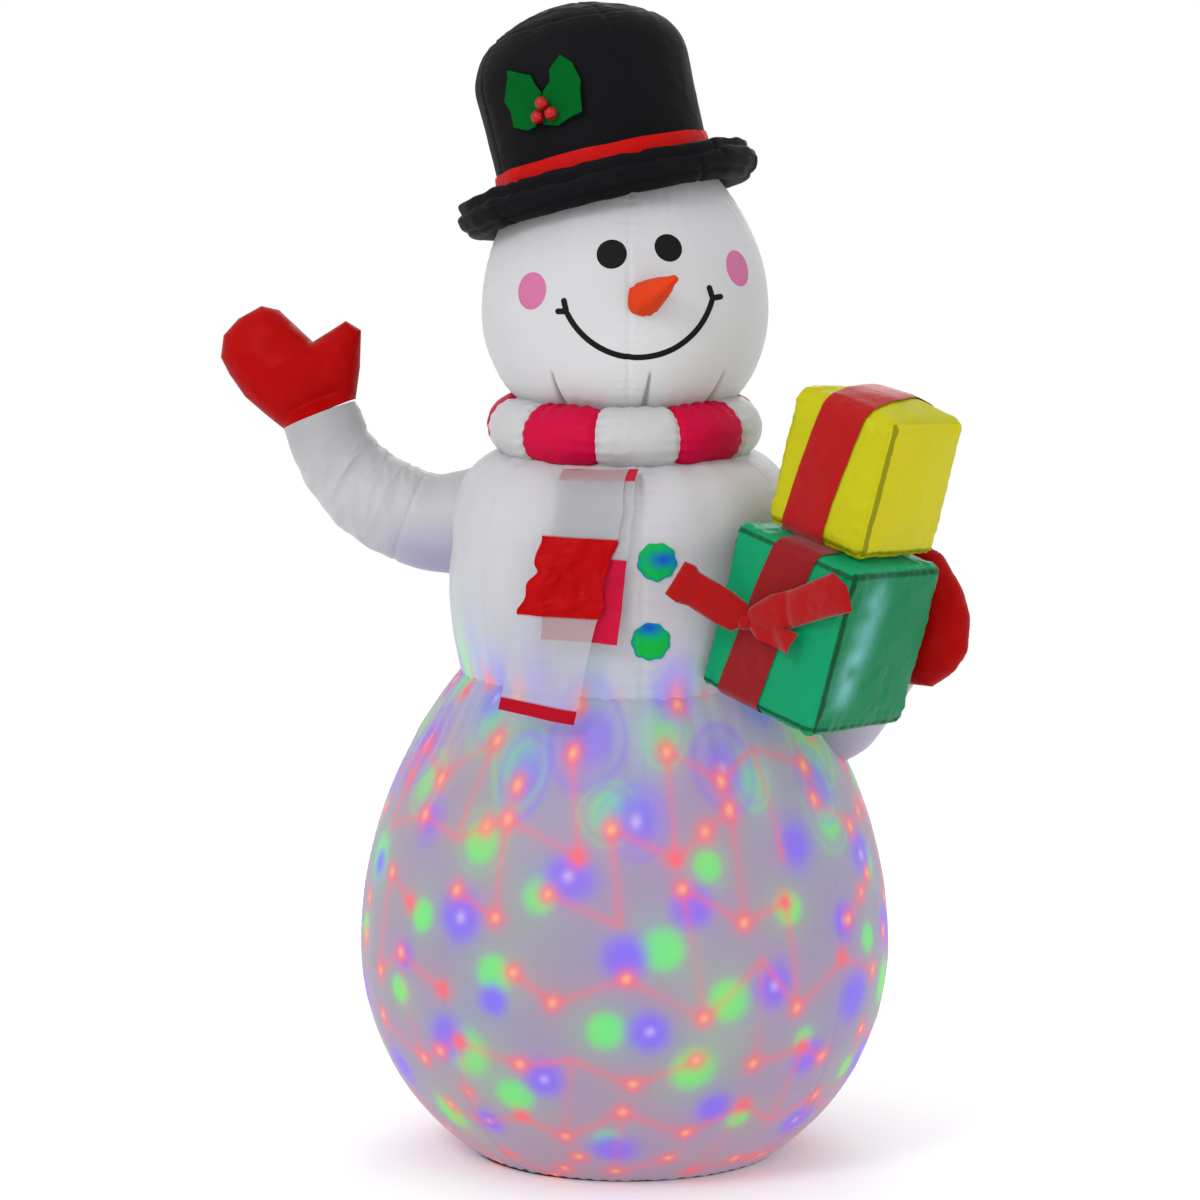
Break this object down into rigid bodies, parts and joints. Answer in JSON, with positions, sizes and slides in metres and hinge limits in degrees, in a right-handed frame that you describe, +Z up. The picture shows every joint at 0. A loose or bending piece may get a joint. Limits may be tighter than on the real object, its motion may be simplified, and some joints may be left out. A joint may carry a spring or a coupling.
{
  "type": "inflatable yard snowman",
  "caption": "Air-blown fabric snowman with a hat, scarf and presents, lit inside by a turning colour projector.",
  "frame": {"origin": "centre of the floor panel's underside, on the ground", "axes": "+Z up, -Y out of the snowman's front, +X to the snowman's left"},
  "size_m": [1.5146, 1.2287, 2.3881],
  "materials": {
    "white_translucent_polyester": "coated woven polyester, translucent",
    "white_polyester": "coated woven polyester",
    "red_polyester": "coated woven polyester",
    "black_polyester": "coated woven polyester",
    "black_print": "satin patch",
    "pink_print": "satin patch",
    "orange_polyester": "coated woven polyester",
    "green_felt": "felt",
    "scarf_print": "coated woven polyester, printed",
    "green_print": "satin patch",
    "green_polyester": "coated woven polyester",
    "yellow_polyester": "coated woven polyester",
    "black_plastic": "moulded, fine grain",
    "fan_plastic": "moulded",
    "white_plastic": "moulded",
    "board_plastic": "solder mask",
    "emitter_plastic": "clear cast",
    "clear_lens": "faceted clear lens",
    "lamp_glass": "frosted",
    "black_rubber": "moulded",
    "zinc_steel": "zinc plated",
    "motor_steel": "rolled can",
    "shaft_steel": "ground",
    "eyelet_brass": "rolled",
    "black_webbing": "woven webbing",
    "zip_tape_fabric": "woven tape"
  },
  "bodies": {
    "root": {"lower_body": "white_translucent_polyester", "floor_panel": "white_translucent_polyester", "upper_body": "white_polyester", "waving_arm": "white_polyester", "holding_arm": "white_polyester", "head": "white_polyester", "waving_mitten": "red_polyester", "holding_mitten": "red_polyester", "eyes": "black_print", "mouth": "black_print", "cheeks": "pink_print", "nose": "orange_polyester", "hat_crown": "black_polyester", "hat_brim": "black_polyester", "hat_band": "red_polyester", "holly_leaves": "green_felt", "holly_berries": "red_polyester", "scarf_white_stripes": "white_polyester", "scarf_red_stripes": "red_polyester", "buttons": "green_print", "green_present": "green_polyester", "yellow_present": "yellow_polyester", "green_ribbon": "red_polyester", "yellow_ribbon": "red_polyester", "bow_loops": "red_polyester", "bow_tail": "red_polyester", "bow_knot": "red_polyester", "blower_duct": "black_plastic", "intake_grille": "black_plastic", "lead_gland": "black_rubber", "grille_screws": "zinc_steel", "blower_stator": "black_plastic", "blower_motor": "motor_steel", "blower_collar": "white_polyester", "collar_strap": "black_webbing", "projector_plate": "black_plastic", "projector_housing": "black_plastic", "lens_motor": "motor_steel", "led_board": "board_plastic", "rgb_emitters": "emitter_plastic", "lamp_ribbon": "black_webbing", "lamp_holders": "white_plastic", "lamp_bulbs": "lamp_glass", "zip_tape": "zip_tape_fabric", "zip_coil": "white_plastic", "zip_stops": "zinc_steel", "tether_tabs": "black_webbing", "stake_straps": "black_webbing", "stake_eyelets": "eyelet_brass"},
    "fan": {"fan_shaft": "shaft_steel", "fan_impeller": "fan_plastic"},
    "lens": {"lens_shaft": "shaft_steel", "lens_dome": "clear_lens"},
    "scarf_tails": {"scarf_tail_under": "scarf_print", "scarf_tail_over": "scarf_print"},
    "zip_slider_body": {"zip_slider": "zinc_steel"},
    "zip_pull_body": {"zip_pull": "zinc_steel"},
    "ring_left": {"tether_ring_left": "zinc_steel"},
    "ring_back": {"tether_ring_back": "zinc_steel"},
    "ring_right": {"tether_ring_right": "zinc_steel"}
  },
  "joints": [
    {"name": "fan_spin", "type": "hinge", "parent": "root", "child": "fan", "pos_m": [0, 0.48, 0.12], "axis": [0, 1, 0], "continuous": true},
    {"name": "lens_spin", "type": "hinge", "parent": "root", "child": "lens", "pos_m": [0, 0, 0.05], "axis": [0, 0, 1], "continuous": true},
    {"name": "scarf_tails_lift", "type": "hinge", "parent": "root", "child": "scarf_tails", "pos_m": [-0.0569, -0.3595, 1.4375], "axis": [-0.9877, 0.1564, 0], "range_deg": [0, 55]},
    {"name": "zip_open", "type": "hinge", "parent": "root", "child": "zip_slider_body", "pos_m": [0, -0.311, 0.441], "axis": [-1, 0, 0], "range_deg": [0, 17]},
    {"name": "zip_pull_swing", "type": "hinge", "parent": "zip_slider_body", "child": "zip_pull_body", "pos_m": [0, 0.46334, 0.85359], "axis": [1, 0, 0], "range_deg": [0, 140]},
    {"name": "ring_left_swing", "type": "hinge", "parent": "root", "child": "ring_left", "pos_m": [0.31192, 0.14987, 1.15591], "axis": [0.5299, -0.848, 0], "range_deg": [0, 150]},
    {"name": "ring_back_swing", "type": "hinge", "parent": "root", "child": "ring_back", "pos_m": [0, 0.32133, 1.17802], "axis": [1, 0, 0], "range_deg": [0, 150]},
    {"name": "ring_right_swing", "type": "hinge", "parent": "root", "child": "ring_right", "pos_m": [-0.31192, 0.14987, 1.15591], "axis": [0.5299, 0.848, 0], "range_deg": [0, 150]}
  ]
}
